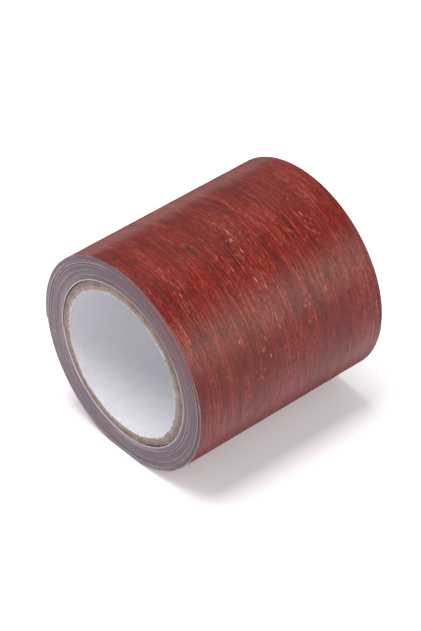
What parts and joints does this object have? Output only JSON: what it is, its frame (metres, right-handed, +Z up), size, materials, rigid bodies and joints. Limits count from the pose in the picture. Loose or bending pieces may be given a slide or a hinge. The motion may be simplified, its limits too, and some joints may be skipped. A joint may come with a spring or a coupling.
{
  "type": "wood grain adhesive tape roll",
  "caption": "Roll of adhesive tape with a printed wood grain face, wound on a white lined kraft paper core, with a free end that peels back.",
  "frame": {"origin": "middle of the flat that the roll rests on, under the middle of its width", "axes": "+Y along the axis of the roll, away from the end face seen in the picture; +Z up; the free end of the tape is on the -X side"},
  "size_m": [0.056, 0.0572, 0.0553],
  "materials": {
    "liner_paper": "smooth white coated paper, satin",
    "kraft_board": "raw kraft board with a fibrous cut edge",
    "tape_edges": "slit edges of the wound tape, fine concentric lines",
    "wood_film": "printed mahogany wood grain film, satin gloss"
  },
  "bodies": {
    "roll": {"core_liner": "liner_paper", "core_inner_ply": "kraft_board", "core_middle_ply": "kraft_board", "core_outer_ply": "kraft_board", "tape_winding": "tape_edges", "tape_outer_turn": "wood_film"},
    "tape_end": {"tape_end": "wood_film"}
  },
  "joints": [
    {"name": "tape_end_peel", "type": "hinge", "parent": "roll", "child": "tape_end", "pos_m": [-0.0228, 0, 0.04365], "axis": [0, 1, 0], "range_deg": [0, 150]}
  ]
}
